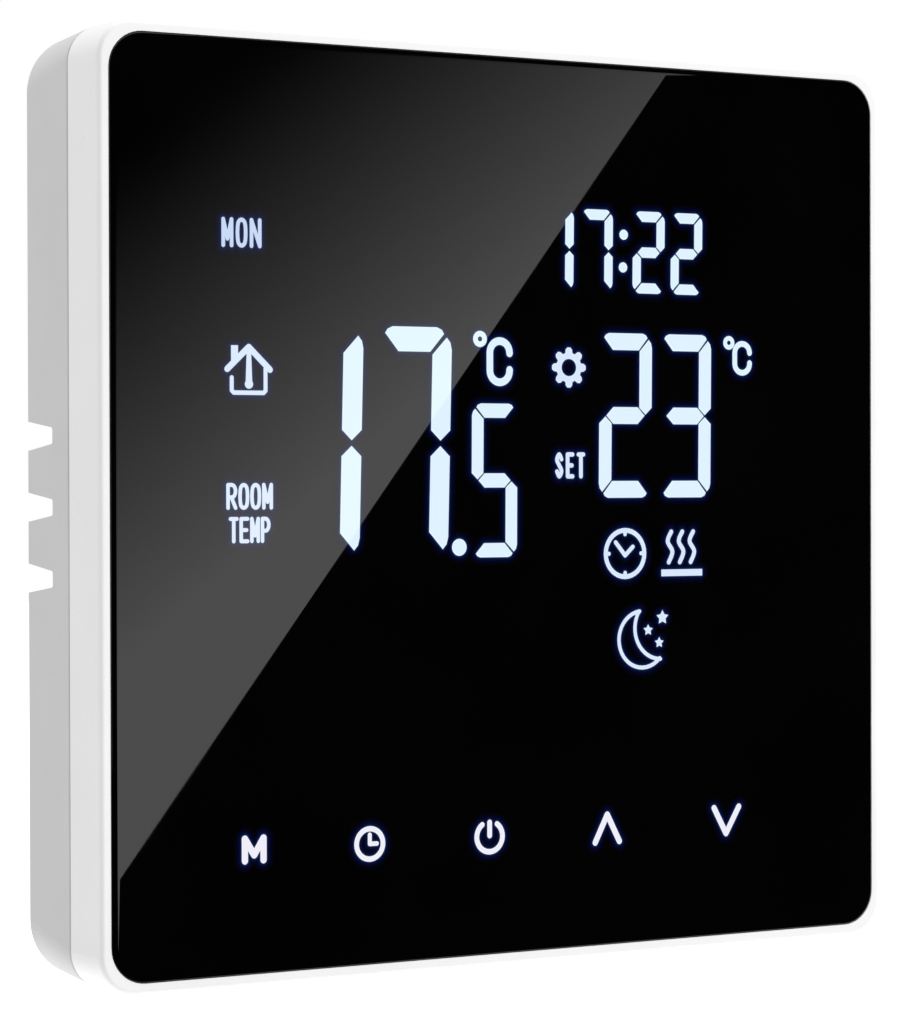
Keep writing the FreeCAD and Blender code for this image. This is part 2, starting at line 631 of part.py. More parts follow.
# ---------------------------------------------------------------- all pieces
def all_pieces():
    pieces = {
        "glass_panel": glass_panel(),
        "panel_adhesive": panel_adhesive(),
        "front_frame": front_frame(),
        "lcd_cell": lcd_cell(),
        "lcd_pins": lcd_pins(),
        "backlight_diffuser": backlight_sheet(LCD_Y[1], LCD_Y[1] + 0.25),
        "backlight_light_guide": backlight_sheet(LCD_Y[1] + 0.25, BOARD_Y[0] - 0.45),
        "backlight_tray": backlight_tray(),
        "backlight_leds": backlight_leds(),
        "key_light_guide": key_light_guide(),
        "touch_pads": touch_pads(),
        "key_leds": key_leds(),
        "main_board": main_board(),
        "microcontroller": chip(-16.0, -8.0, 5.0, 5.0, 1.2),
        "touch_controller": chip(-3.0, -24.0, 2.2, 3.0, 1.1),
        "clock_crystal": clock_crystal(),
        "backup_cell": backup_cell(),
        "room_sensor": room_sensor(),
        "header_strip": header_strip(),
        "header_pins": header_pins(),
        "rear_cover": rear_cover(),
        "rear_cover_screws": rear_cover_screws(),
        "base_shell": base_shell(),
        "mounting_plate": mounting_plate(),
        "mounting_plate_screws": mounting_plate_screws(),
        "catch_springs": catch_springs(),
        "power_box": power_box(),
        "power_box_screws": power_box_screws(),
        "power_board": power_board(),
        "header_socket": header_socket(),
        "relay_base": relay_base(),
        "relay_coil": relay_coil(),
        "relay_core": relay_core(),
        "relay_yoke": relay_yoke(),
        "relay_armature": relay_armature(),
        "relay_fixed_contact": relay_fixed_contact(),
        "relay_case": relay_case(),
        "transformer_core": transformer_core(),
        "transformer_winding": transformer_winding(),
        "input_capacitor": can(-13.5, 14.0, 5.0, 16.0),
        "output_capacitor": can(-3.8, 15.5, 4.0, 12.0),
        "line_capacitor": line_capacitor(),
        "varistor": varistor(),
        "fuse": fuse(),
        "rectifier": rectifier(),
        "terminal_block": terminal_block(),
        "terminal_bars": terminal_bars(),
    }
    for number, x in enumerate(terminal_places(), 1):
        pieces[f"terminal_screw_{number}"] = terminal_screw(x)
        pieces[f"terminal_clamp_{number}"] = terminal_clamp(x)
    return pieces


os.makedirs("parts", exist_ok=True)
for name, shape in all_pieces().items():
    shape.exportStep(f"parts/{name}.step")
    print(f"{name}: {len(shape.Solids)} solids, {shape.Volume:.1f} mm3, valid {shape.isValid()}")
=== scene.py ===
"""Looks of the wall thermostat: glass, lit figures, plastics and small details on the CAD frame.

Metres, in the CAD part's frame: +X right, +Y into the wall, +Z up, origin in the wall plane.
Figures on the glass are laid out in millimetres from the middle of the panel, x right, z up.
"""
import json
from math import atan2, cos, pi, radians, sin, sqrt

import bmesh
import bpy
from mathutils import Matrix, Vector
from mathutils.geometry import delaunay_2d_cdt


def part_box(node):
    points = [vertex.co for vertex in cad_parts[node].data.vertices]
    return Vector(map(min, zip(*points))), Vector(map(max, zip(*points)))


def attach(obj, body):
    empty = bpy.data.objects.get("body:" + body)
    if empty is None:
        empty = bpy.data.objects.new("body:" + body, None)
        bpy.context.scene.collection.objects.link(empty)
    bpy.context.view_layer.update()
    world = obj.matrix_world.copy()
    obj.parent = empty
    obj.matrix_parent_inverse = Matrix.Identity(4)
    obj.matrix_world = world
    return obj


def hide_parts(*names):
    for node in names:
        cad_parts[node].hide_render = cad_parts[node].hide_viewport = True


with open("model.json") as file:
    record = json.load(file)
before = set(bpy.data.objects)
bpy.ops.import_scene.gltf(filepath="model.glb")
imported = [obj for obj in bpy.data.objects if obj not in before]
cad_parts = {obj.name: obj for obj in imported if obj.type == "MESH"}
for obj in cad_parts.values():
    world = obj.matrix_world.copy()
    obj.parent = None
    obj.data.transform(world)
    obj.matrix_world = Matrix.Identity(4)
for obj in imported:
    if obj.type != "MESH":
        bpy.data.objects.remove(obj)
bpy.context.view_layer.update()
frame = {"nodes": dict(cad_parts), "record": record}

MM = 0.001
GLASS_LOW, GLASS_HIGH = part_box("glass_panel")
GLASS_FRONT = GLASS_LOW.y
GLASS_HALF = GLASS_HIGH.x


# ---------------------------------------------------------------- camera, light and stage
CAMERA_YAW = radians(31.153)
CAMERA_PITCH = radians(-0.509)
CAMERA_ROLL = radians(-0.157)
CAMERA_LENS = 123.8            # on a 36 mm sensor
CAMERA_DISTANCE = 0.3298       # from the middle of the glass, along the view
CAMERA_SHIFT = (-0.00596, -0.00064)   # sideways and upwards, so that the panel sits off centre

LOOK = Vector((sin(CAMERA_YAW) * cos(CAMERA_PITCH), cos(CAMERA_YAW) * cos(CAMERA_PITCH), sin(CAMERA_PITCH)))


def camera_axes():
    """Right and up of the picture, with the roll."""
    level = LOOK.cross(Vector((0, 0, 1))).normalized()
    upright = level.cross(LOOK)
    right = level * cos(CAMERA_ROLL) + upright * sin(CAMERA_ROLL)
    up = upright * cos(CAMERA_ROLL) - level * sin(CAMERA_ROLL)
    return right, up


def camera_place():
    right, up = camera_axes()
    middle = Vector((0, GLASS_FRONT, 0))
    return middle - LOOK * CAMERA_DISTANCE + right * CAMERA_SHIFT[0] + up * CAMERA_SHIFT[1]


def add_camera():
    right, up = camera_axes()
    data = bpy.data.cameras.new("camera")
    data.lens = CAMERA_LENS
    data.sensor_width = 36
    data.clip_start = 0.01
    camera = bpy.data.objects.new("camera", data)
    bpy.context.scene.collection.objects.link(camera)
    turn = Matrix((right, up, -LOOK)).transposed().to_4x4()
    camera.matrix_world = Matrix.Translation(camera_place()) @ turn
    bpy.context.scene.camera = camera


def area_light(name, place, size, power):
    """Round soft light that points at the origin and that nothing mirrors."""
    data = bpy.data.lights.new(name, "AREA")
    data.shape = "DISK"
    data.size = size
    data.energy = power
    light = bpy.data.objects.new(name, data)
    bpy.context.scene.collection.objects.link(light)
    light.location = place
    light.rotation_euler = (-Vector(place)).to_track_quat("-Z", "Y").to_euler()
    light.visible_glossy = False


def stage_sheet(name, corners, material):
    """Flat sheet that is part of the studio, not of the object."""
    mesh = bpy.data.meshes.new(name)
    mesh.from_pydata([Vector(c) for c in corners], [], [tuple(range(len(corners)))])
    mesh.materials.append(material)
    sheet = bpy.data.objects.new(name, mesh)
    bpy.context.scene.collection.objects.link(sheet)
    return sheet


def only_in_reflections(sheet):
    sheet.visible_camera = False
    sheet.visible_diffuse = False
    sheet.visible_shadow = False
    sheet.visible_transmission = False


def plain_material(name, colour, roughness, strength=0.0):
    material = bpy.data.materials.new(name)
    material.use_nodes = True
    shader = material.node_tree.nodes["Principled BSDF"]
    shader.inputs["Base Color"].default_value = (*colour, 1)
    shader.inputs["Roughness"].default_value = roughness
    shader.inputs["Emission Color"].default_value = (*colour, 1)
    shader.inputs["Emission Strength"].default_value = strength
    return material


WORLD_LIGHT = 0.81


def add_world():
    """Even soft light. The paper round the set is white, and lights the object less than it shows."""
    world = bpy.data.worlds.new("studio")
    world.use_nodes = True
    tree = world.node_tree
    background = tree.nodes["Background"]
    rays = tree.nodes.new("ShaderNodeLightPath")
    strength = tree.nodes.new("ShaderNodeMapRange")
    strength.inputs["To Min"].default_value = WORLD_LIGHT
    strength.inputs["To Max"].default_value = 1.0
    tree.links.new(rays.outputs["Is Camera Ray"], strength.inputs["Value"])
    tree.links.new(strength.outputs["Result"], background.inputs["Strength"])
    background.inputs["Color"].default_value = (1, 1, 1, 1)
    bpy.context.scene.world = world
    bpy.context.scene.view_settings.view_transform = "Standard"


FLOOR_Z = -0.12
FLOOR_SIDE = 3.0               # half of its width


def add_floor():
    side = FLOOR_SIDE
    corners = [(-side, -side, FLOOR_Z), (side, -side, FLOOR_Z), (side, side, FLOOR_Z), (-side, side, FLOOR_Z)]
    floor = stage_sheet("floor", corners, plain_material("floor_paper", (1, 1, 1), 0.9, 1.0))
    floor.visible_diffuse = False
    floor.visible_glossy = False
    floor.visible_shadow = False


# The soft box that the glass mirrors: its straight lower edge crosses the panel as a diagonal.
EDGE_TOP = Vector((16.98, 41.1))        # where that edge meets the glass's rim, x and z in mm
EDGE_LEFT = Vector((-41.36, -32.77))
EDGE_OVERHANG = 8                       # mm by which the edge runs on past the rim at both ends
SOFT_BOX_CORNER = (-62, 62)             # its third corner, beyond the rim
SOFT_BOX_REACH = 2.2                    # how far behind the mirror image of the camera it stands
FADE = (0.607, -0.794)                  # direction on the glass in which it gets brighter
FADE_FROM, FADE_TO = -50.0, -14.0       # mm along that direction
FADE_POWER = 1.6
SOFT_BOX_LIGHT = 1.62


def mirrored_camera():
    place = camera_place()
    return Vector((place.x, 2 * GLASS_FRONT - place.y, place.z))


def seen_in_glass(x, z):
    """Place in the studio whose reflection the camera sees at this point of the glass."""
    eye = mirrored_camera()
    return eye + (Vector((x * MM, GLASS_FRONT, z * MM)) - eye) * SOFT_BOX_REACH


def fading_material():
    """Emission that grows along FADE."""
    material = bpy.data.materials.new("soft_box_light")
    material.use_nodes = True
    tree = material.node_tree
    tree.nodes.clear()
    output = tree.nodes.new("ShaderNodeOutputMaterial")
    emission = tree.nodes.new("ShaderNodeEmission")
    place = tree.nodes.new("ShaderNodeTexCoord")
    along = tree.nodes.new("ShaderNodeVectorMath")
    along.operation = "DOT_PRODUCT"
    along.inputs[1].default_value = (FADE[0], 0, FADE[1])
    eye = mirrored_camera()
    start = (1 - SOFT_BOX_REACH) * (FADE[0] * eye.x + FADE[1] * eye.z)
    share = tree.nodes.new("ShaderNodeMapRange")
    share.inputs["From Min"].default_value = start + SOFT_BOX_REACH * FADE_FROM * MM
    share.inputs["From Max"].default_value = start + SOFT_BOX_REACH * FADE_TO * MM
    power = tree.nodes.new("ShaderNodeMath")
    power.operation = "POWER"
    power.inputs[1].default_value = FADE_POWER
    scale = tree.nodes.new("ShaderNodeMath")
    scale.operation = "MULTIPLY"
    scale.inputs[1].default_value = SOFT_BOX_LIGHT
    tree.links.new(place.outputs["Object"], along.inputs[0])
    tree.links.new(along.outputs["Value"], share.inputs["Value"])
    tree.links.new(share.outputs["Result"], power.inputs[0])
    tree.links.new(power.outputs["Value"], scale.inputs[0])
    tree.links.new(scale.outputs["Value"], emission.inputs["Strength"])
    tree.links.new(emission.outputs["Emission"], output.inputs["Surface"])
    return material


def add_reflections():
    """Dark sheets before, below and to the right, which keep the glass black, and the soft box."""
    dark = plain_material("dark_sheet", (0.0, 0.0, 0.0), 1.0)
    dark.node_tree.nodes["Principled BSDF"].inputs["Specular IOR Level"].default_value = 0
    near, far, left, right, top = -0.45, 0.4, -1.2, 0.5, 1.1
    before_wall = -0.02
    low = FLOOR_Z + MM
    for name, corners in (
        ("dark_before", [(left, near, low), (right, near, low), (right, near, top), (left, near, top)]),
        ("dark_below", [(left, near, low), (right, near, low), (right, before_wall, low),
                        (left, before_wall, low)]),
        ("dark_right", [(right, near, low), (right, far, low), (right, far, top), (right, near, top)]),
    ):
        only_in_reflections(stage_sheet(name, corners, dark))
    along = (EDGE_TOP - EDGE_LEFT).normalized()
    upper = EDGE_TOP + along * EDGE_OVERHANG
    lower = EDGE_LEFT - along * EDGE_OVERHANG
    corners = [seen_in_glass(*corner) for corner in (upper, SOFT_BOX_CORNER, lower)]
    only_in_reflections(stage_sheet("soft_box", corners, fading_material()))


# ---------------------------------------------------------------- materials
class Surface:
    """A Principled material with short ways to add noise to its colour, roughness and bump."""

    def __init__(self, name, colour, roughness, metallic=0.0):
        self.material = bpy.data.materials.new(name)
        self.material.use_nodes = True
        self.tree = self.material.node_tree
        self.shader = self.tree.nodes["Principled BSDF"]
        self.colour = colour
        self.set("Base Color", (*colour, 1))
        self.set("Roughness", roughness)
        self.set("Metallic", metallic)
        self.place = self.node("ShaderNodeTexCoord").outputs["Object"]

    def node(self, kind):
        return self.tree.nodes.new(kind)

    def link(self, a, b):
        self.tree.links.new(a, b)

    def set(self, socket, value):
        self.shader.inputs[socket].default_value = value
        return self

    def stretched(self, stretch):
        mapping = self.node("ShaderNodeMapping")
        mapping.inputs["Scale"].default_value = stretch
        self.link(self.place, mapping.inputs["Vector"])
        return mapping.outputs["Vector"]

    def noise(self, size_mm, detail=2.0, stretch=(1, 1, 1)):
        """Noise whose grains are about size_mm across."""
        texture = self.node("ShaderNodeTexNoise")
        texture.inputs["Scale"].default_value = 1 / (size_mm * MM)
        texture.inputs["Detail"].default_value = detail
        self.link(self.stretched(stretch), texture.inputs["Vector"])
        return texture.outputs["Fac"]

    def spread(self, value, low, high, start=0.3, end=0.7):
        """value from start to end, as low to high."""
        share = self.node("ShaderNodeMapRange")
        share.inputs["From Min"].default_value = start
        share.inputs["From Max"].default_value = end
        share.inputs["To Min"].default_value = low
        share.inputs["To Max"].default_value = high
        self.link(value, share.inputs["Value"])
        return share.outputs["Result"]

    def vary_roughness(self, low, high, size_mm, stretch=(1, 1, 1)):
        self.link(self.spread(self.noise(size_mm, 3, stretch), low, high), self.shader.inputs["Roughness"])
        return self

    def vary_colour(self, other, size_mm, stretch=(1, 1, 1), detail=3.0, start=0.3, end=0.7):
        mix = self.node("ShaderNodeMix")
        mix.data_type = "RGBA"
        mix.inputs["A"].default_value = (*self.colour, 1)
        mix.inputs["B"].default_value = (*other, 1)
        self.link(self.spread(self.noise(size_mm, detail, stretch), 0, 1, start, end), mix.inputs["Factor"])
        self.link(mix.outputs["Result"], self.shader.inputs["Base Color"])
        return self

    def bump(self, size_mm, height_mm, stretch=(1, 1, 1), detail=2.0):
        bump = self.node("ShaderNodeBump")
        bump.inputs["Strength"].default_value = 1.0
        bump.inputs["Distance"].default_value = height_mm * MM
        self.link(self.noise(size_mm, detail, stretch), bump.inputs["Height"])
        self.link(bump.outputs["Normal"], self.shader.inputs["Normal"])
        return self


def darker(colour, share):
    return tuple(c * share for c in colour)


def moulded(name, colour, roughness, grain_mm=0.18, height_mm=0.004):
    """Plastic from a spark-eroded mould: fine grain, slow drift in tone and gloss."""
    surface = Surface(name, colour, roughness)
    surface.vary_colour(darker(colour, 0.965), 9.0)
    surface.vary_roughness(roughness - 0.05, roughness + 0.06, 3.0)
    return surface.bump(grain_mm, height_mm)


def metal(name, colour, roughness, stretch=(1, 1, 1), size_mm=0.8, height_mm=0.002):
    surface = Surface(name, colour, roughness, 1.0)
    surface.vary_colour(darker(colour, 0.82), size_mm * 3, stretch)
    surface.vary_roughness(roughness * 0.75, roughness * 1.35, size_mm, stretch)
    return surface.bump(size_mm / 3, height_mm, stretch)


def black_glass():
    surface = Surface("black_glass", (0.0006, 0.0005, 0.0006), 0.01)
    surface.vary_roughness(0.004, 0.014, 14.0)
    surface.set("IOR", 1.52)
    return surface.vary_colour((0.0011, 0.0010, 0.0011), 18.0)


def lit(name, colour, strength=1.0):
    """Light that shows through the print: a bright face that still mirrors the room a little."""
    surface = Surface(name, (0.0006, 0.0005, 0.0006), 0.01)
    surface.vary_roughness(0.004, 0.014, 14.0)
    surface.set("IOR", 1.52)
    surface.set("Emission Color", (*colour, 1))
    return surface.set("Emission Strength", strength)


GLOW = (                       # how far each sheet of the glow reaches beyond the figures, and its colour
    (0.10, (0.0088, 0.0194, 0.0714)),
    (0.20, (0.0018, 0.0056, 0.0373)),
    (0.30, (0.0010, 0.0028, 0.0243)),
    (0.40, (0.0004, 0.0015, 0.0150)),
    (0.55, (0.0003, 0.0009, 0.0082)),
    (0.75, (0.0002, 0.0006, 0.0031)),
)


def circuit_board(name, colour):
    """Solder resist over copper tracks that run along both edges of the board."""
    surface = Surface(name, colour, 0.35)
    tracks = surface.node("ShaderNodeTexBrick")
    tracks.offset = 0.35
    tracks.inputs["Color1"].default_value = (*darker(colour, 0.8), 1)
    tracks.inputs["Color2"].default_value = (*colour, 1)
    tracks.inputs["Mortar"].default_value = (*[c * 1.9 + 0.01 for c in colour], 1)
    tracks.inputs["Scale"].default_value = 90.0
    tracks.inputs["Mortar Size"].default_value = 0.03
    turned = surface.node("ShaderNodeMapping")
    turned.inputs["Rotation"].default_value = (pi / 2, 0, 0)
    surface.link(surface.place, turned.inputs["Vector"])
    surface.link(turned.outputs["Vector"], tracks.inputs["Vector"])
    surface.link(tracks.outputs["Color"], surface.shader.inputs["Base Color"])
    surface.vary_roughness(0.28, 0.45, 1.2)
    return surface.bump(0.5, 0.006)


def all_surfaces():
    """The material of each slot in the record."""
    return {
        "black_glass": black_glass(),
        "gasket_tape": moulded("gasket_tape", (0.03, 0.03, 0.03), 0.8, 0.3, 0.02),
        "frame_plastic": moulded("frame_plastic", (0.9, 0.895, 0.9), 0.32, 0.12, 0.0015),
        "shell_plastic": moulded("shell_plastic", (0.645, 0.635, 0.64), 0.5),
        "lit_figures": lit("lit_figures", (0.74, 0.89, 1.0)),
        "lit_labels": lit("lit_labels", (0.58, 0.70, 0.93)),
        "lit_signs": lit("lit_signs", (0.70, 0.81, 0.98)),
        "lit_keys": lit("lit_keys", (0.86, 0.86, 0.95)),
        **{f"glow_{n}": lit(f"glow_{n}", colour) for n, (_, colour) in enumerate(GLOW, 1)},
        "lcd_glass": Surface("lcd_glass", (0.012, 0.012, 0.02), 0.05).vary_roughness(0.03, 0.08, 6.0),
        "tinned_pins": metal("tinned_pins", (0.76, 0.76, 0.75), 0.3),
        "clear_acrylic": moulded("clear_acrylic", (0.86, 0.9, 0.94), 0.12, 0.4, 0.001),
        "reflector_plastic": moulded("reflector_plastic", (0.88, 0.88, 0.87), 0.6),
        "white_lamp": moulded("white_lamp", (0.9, 0.82, 0.4), 0.25, 0.3, 0.002),
        "pad_foam": moulded("pad_foam", (0.06, 0.06, 0.065), 0.9, 0.35, 0.05),
        "board_green": circuit_board("board_green", (0.012, 0.10, 0.035)),
        "chip_black": moulded("chip_black", (0.02, 0.02, 0.022), 0.55, 0.12, 0.004),
        "steel_can": metal("steel_can", (0.72, 0.72, 0.74), 0.22),
        "sensor_bead": moulded("sensor_bead", (0.16, 0.03, 0.015), 0.2, 0.5, 0.01),
        "header_black": moulded("header_black", (0.025, 0.025, 0.027), 0.45),
        "gold_pins": metal("gold_pins", (0.95, 0.72, 0.32), 0.2),
        "zinc_steel": metal("zinc_steel", (0.66, 0.68, 0.70), 0.34, size_mm=2.2, height_mm=0.003),
        "screw_steel": metal("screw_steel", (0.74, 0.74, 0.76), 0.24, size_mm=0.4),
        "spring_steel": metal("spring_steel", (0.52, 0.53, 0.56), 0.28, (1, 8, 1)),
        "box_plastic": moulded("box_plastic", (0.72, 0.72, 0.71), 0.48),
        "relay_blue": moulded("relay_blue", (0.02, 0.07, 0.32), 0.3, 0.2, 0.002),
        "relay_black": moulded("relay_black", (0.03, 0.03, 0.03), 0.5),
        "copper_wire": metal("copper_wire", (0.85, 0.42, 0.2), 0.3, (1, 12, 1), 0.6, 0.02),
        "soft_iron": metal("soft_iron", (0.5, 0.5, 0.52), 0.38),
        "contact_copper": metal("contact_copper", (0.85, 0.52, 0.32), 0.3),
        "ferrite": moulded("ferrite", (0.035, 0.035, 0.038), 0.6, 0.25, 0.01),
        "coil_tape": moulded("coil_tape", (0.75, 0.52, 0.05), 0.25, 0.8, 0.01),
        "capacitor_sleeve": moulded("capacitor_sleeve", (0.015, 0.02, 0.06), 0.22, 0.6, 0.002),
        "capacitor_box": moulded("capacitor_box", (0.72, 0.5, 0.03), 0.3, 0.3, 0.002),
        "varistor_blue": moulded("varistor_blue", (0.03, 0.12, 0.5), 0.25, 0.7, 0.01),
        "fuse_brown": moulded("fuse_brown", (0.10, 0.04, 0.015), 0.4),
        "terminal_grey": moulded("terminal_grey", (0.035, 0.037, 0.04), 0.5),
        "terminal_brass": metal("terminal_brass", (0.85, 0.68, 0.38), 0.28),
    }


SURFACES = all_surfaces()


def dress_cad_nodes():
    """Gives every CAD node its slot's material and smooth shading across its round faces."""
    slots = {part["node"]: part["material_slot"] for part in frame["record"]["subparts"]}
    for name, node in frame["nodes"].items():
        node.data.materials.clear()
        node.data.materials.append(SURFACES[slots[name]].material)
        node.data.shade_smooth()
        node.data.set_sharp_from_angle(angle=radians(28))


# ---------------------------------------------------------------- glass
def front_piece(name, mesh, material):
    """Piece that leaves the wall with the front unit; slot is the record's name for its finish."""
    mesh.materials.append(SURFACES[material].material)
    piece = bpy.data.objects.new(name, mesh)
    bpy.context.scene.collection.objects.link(piece)
    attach(piece, "front_unit")
    return piece


def rounded_loop(half, radius, y, steps=14):
    """Points round a square with round corners, anticlockwise for a person who faces the panel."""
    points = []
    for corner, (sx, sz) in enumerate(((1, 1), (-1, 1), (-1, -1), (1, -1))):
        for step in range(steps + 1):
            turn = pi / 2 * (corner + step / steps)
            x = sx * (half - radius) + radius * cos(turn)
            z = sz * (half - radius) + radius * sin(turn)
            points.append(Vector((x, y, z)))
    return points


def skin(loops):
    """Closed skin over a row of loops with the same number of points, flat at both ends."""
    verts = [p for loop in loops for p in loop]
    count = len(loops[0])
    faces = [tuple(range(count))]
    for ring in range(len(loops) - 1):
        for n in range(count):
            a = ring * count + n
            b = ring * count + (n + 1) % count
            faces.append((b, a, a + count, b + count))
    faces.append(tuple(range((len(loops) - 1) * count + count - 1, (len(loops) - 1) * count - 1, -1)))
    return verts, faces


GLASS_CORNER = 3.3 * MM
GLASS_ROLL = (0.5 * MM, 0.3 * MM)       # width and depth of the rounded rim
GLASS_BEVEL = 0.15 * MM                 # at the back edge
GLASS_FLAT = 0.2 * MM                   # first strip of the flat front, inside the rim


def glass():
    """Cover glass whose rim rolls off in a quarter ellipse."""
    width, depth = GLASS_ROLL
    steps = 9
    back = GLASS_HIGH.y
    flat = width + GLASS_FLAT
    loops = [rounded_loop(GLASS_HALF - flat, GLASS_CORNER - flat, GLASS_FRONT)]
    for step in range(steps + 1):
        turn = pi / 2 * step / steps
        inset = width * (1 - sin(turn))
        drop = depth * (1 - cos(turn))
        loops.append(rounded_loop(GLASS_HALF - inset, GLASS_CORNER - inset, GLASS_FRONT + drop))
    loops.append(rounded_loop(GLASS_HALF, GLASS_CORNER, back - GLASS_BEVEL))
    loops.append(rounded_loop(GLASS_HALF - GLASS_BEVEL, GLASS_CORNER - GLASS_BEVEL, back))
    verts, faces = skin(loops)
    mesh = bpy.data.meshes.new("cover_glass")
    mesh.from_pydata(verts, [], faces)
    mesh.validate()
    mesh.shade_smooth()
    mesh.set_sharp_from_angle(angle=radians(60))
    piece = front_piece("cover_glass", mesh, "black_glass")
    weighted = piece.modifiers.new("flat_front", "WEIGHTED_NORMAL")
    weighted.keep_sharp = True
    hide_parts("glass_panel")


# ---------------------------------------------------------------- flat figures
SHEET = 0.993 * MM             # one unit of the figures' layout
SHEET_SHIFT = -0.155           # the whole layout sits a little left of the middle
FIGURE_PROUD = 0.03            # mm in front of the glass
FIGURE_SUNK = 0.006
GLOW_STEP = 0.004              # mm from one sheet of the glow to the next
WELD = 2e-4                    # points of the outlines nearer than this become one


def grown(outline, amount):
    """Convex anticlockwise outline, moved outwards."""
    points = []
    for (x0, z0), (x1, z1) in zip(outline, outline[1:] + outline[:1]):
        length = sqrt((x1 - x0) ** 2 + (z1 - z0) ** 2)
        if length > 1e-9:
            nx, nz = amount * (z1 - z0) / length, amount * (x0 - x1) / length
            points += [(x0 + nx, z0 + nz), (x1 + nx, z1 + nz)]
    return points


def arc(x, z, radius, start, end, steps=16):
    """Points on an arc, angles in degrees from +x towards +z."""
    turns = [radians(start + (end - start) * n / steps) for n in range(steps + 1)]
    return [(x + radius * cos(turn), z + radius * sin(turn)) for turn in turns]


def between(p, q, r, s, t):
    """Value at t of the way from q to r, with p before them and s after (Catmull-Rom)."""
    square = 2 * p - 5 * q + 4 * r - s
    cube = 3 * q - p - 3 * r + s
    return 0.5 * (2 * q + (r - p) * t + square * t * t + cube * t ** 3)


def swing(points, steps=6):
    """Smooth line through the points."""
    row = [points[0]] + list(points) + [points[-1]]
    line = []
    for four in zip(row, row[1:], row[2:], row[3:]):
        for n in range(steps):
            line.append(tuple(between(*values, n / steps) for values in zip(*four)))
    return line + [points[-1]]


class Figure:
    """Flat figures, gathered as convex outlines and joined into one thin plate."""

    everything = []            # the outlines of all the figures that are lit

    def __init__(self, outlines=()):
        self.outlines = list(outlines)

    def polygon(self, points):
        area = sum(a[0] * b[1] - b[0] * a[1] for a, b in zip(points, points[1:] + points[:1]))
        self.outlines.append(list(points) if area > 0 else list(reversed(points)))

    def disc(self, x, z, radius, steps=28):
        self.polygon(arc(x, z, radius, 0, 360, steps)[:-1])

    def stroke(self, points, width):
        """Line of even width with round ends and joints."""
        for (x0, z0), (x1, z1) in zip(points, points[1:]):
            turn = atan2(z1 - z0, x1 - x0) * 180 / pi
            self.polygon(arc(x1, z1, width / 2, turn - 90, turn + 90, 6)
                         + arc(x0, z0, width / 2, turn + 90, turn + 270, 6))

    def ring(self, x, z, radius, width):
        """Even ring; radius is to the middle of its line."""
        outer = arc(x, z, radius + width / 2, 0, 360, 36)
        inner = arc(x, z, radius - width / 2, 0, 360, 36)
        for a, b, c, d in zip(outer, outer[1:], inner[1:], inner):
            self.polygon([a, b, c, d])

    def sheet(self, name, material, grow, proud):
        """Plate over all the outlines, each grown by grow, that stands proud mm before the glass."""
        verts, faces = [], []
        for outline in self.outlines:
            points = grown(outline, grow) if grow else outline
            faces.append(tuple(range(len(verts), len(verts) + len(points))))
            verts += [Vector(p) for p in points]
        flat, _, triangles, _, _, sources = delaunay_2d_cdt(verts, [], faces, 1, WELD)
        mesh = bmesh.new()
        back = GLASS_FRONT + FIGURE_SUNK * MM
        points = [mesh.verts.new(((v.x + SHEET_SHIFT) * SHEET, back, v.y * SHEET)) for v in flat]
        for triangle, source in zip(triangles, sources):
            if source:
                mesh.faces.new([points[n] for n in triangle])
        bmesh.ops.delete(mesh, geom=[v for v in mesh.verts if not v.link_faces], context="VERTS")
        bmesh.ops.dissolve_limit(mesh, angle_limit=radians(0.2), verts=mesh.verts[:], edges=mesh.edges[:])
        front = bmesh.ops.extrude_face_region(mesh, geom=mesh.faces[:])
        raised = [v for v in front["geom"] if isinstance(v, bmesh.types.BMVert)]
        bmesh.ops.translate(mesh, vec=(0, -(proud + FIGURE_SUNK) * MM, 0), verts=raised)
        bmesh.ops.recalc_face_normals(mesh, faces=mesh.faces[:])
        data = bpy.data.meshes.new(name)
        mesh.to_mesh(data)
        mesh.free()
        front_piece(name, data, material)

    def light_up(self, name, material="lit_figures"):
        self.sheet(name, material, 0, FIGURE_PROUD)
        Figure.everything += self.outlines


def glow():
    """Light that bleeds from all the figures into the print round them, weaker further out."""
    figure = Figure(Figure.everything)
    for n, (reach, _) in enumerate(GLOW, 1):
        figure.sheet(f"glow_{n}", f"glow_{n}", reach, FIGURE_PROUD - n * GLOW_STEP)


# ---------------------------------------------------------------- digits
LIT = {"1": "bc", "2": "abged", "3": "abgcd", "5": "afgcd", "7": "abc"}


def segments(w, h, bar, post, gap):
    """Outlines of the seven segments in a box with its lower left corner at the origin.

    bar and post are the widths of the level and upright segments, gap the space between two.
    """
    m, g = h / 2, gap / 2
    top = [(0.3 * post + g, h - 0.27 * bar), (0.42 * post + g, h - 0.1 * bar), (0.68 * post + g, h),
           (w - 0.68 * post - g, h), (w - 0.42 * post - g, h - 0.1 * bar),
           (w - 0.3 * post - g, h - 0.27 * bar), (w - post - g, h - bar), (post + g, h - bar)]
    upper = [(w - post, h - bar - g), (w - 0.27 * post, h - 0.3 * bar - g),
             (w - 0.08 * post, h - 0.5 * bar - g), (w, h - 0.8 * bar - g), (w, m + 0.46 * post + g),
             (w - post / 2, m + g), (w - post, m + 0.46 * post + g)]
    tip, shoulder = post / 2 + g, post / 2 + bar / 2 + g
    middle = [(tip, m), (shoulder, m + bar / 2), (w - shoulder, m + bar / 2),
              (w - tip, m), (w - shoulder, m - bar / 2), (shoulder, m - bar / 2)]
    return {
        "a": top,
        "b": upper,
        "c": [(x, h - z) for x, z in upper],
        "d": [(x, h - z) for x, z in top],
        "e": [(w - x, h - z) for x, z in upper],
        "f": [(w - x, z) for x, z in upper],
        "g": middle,
    }


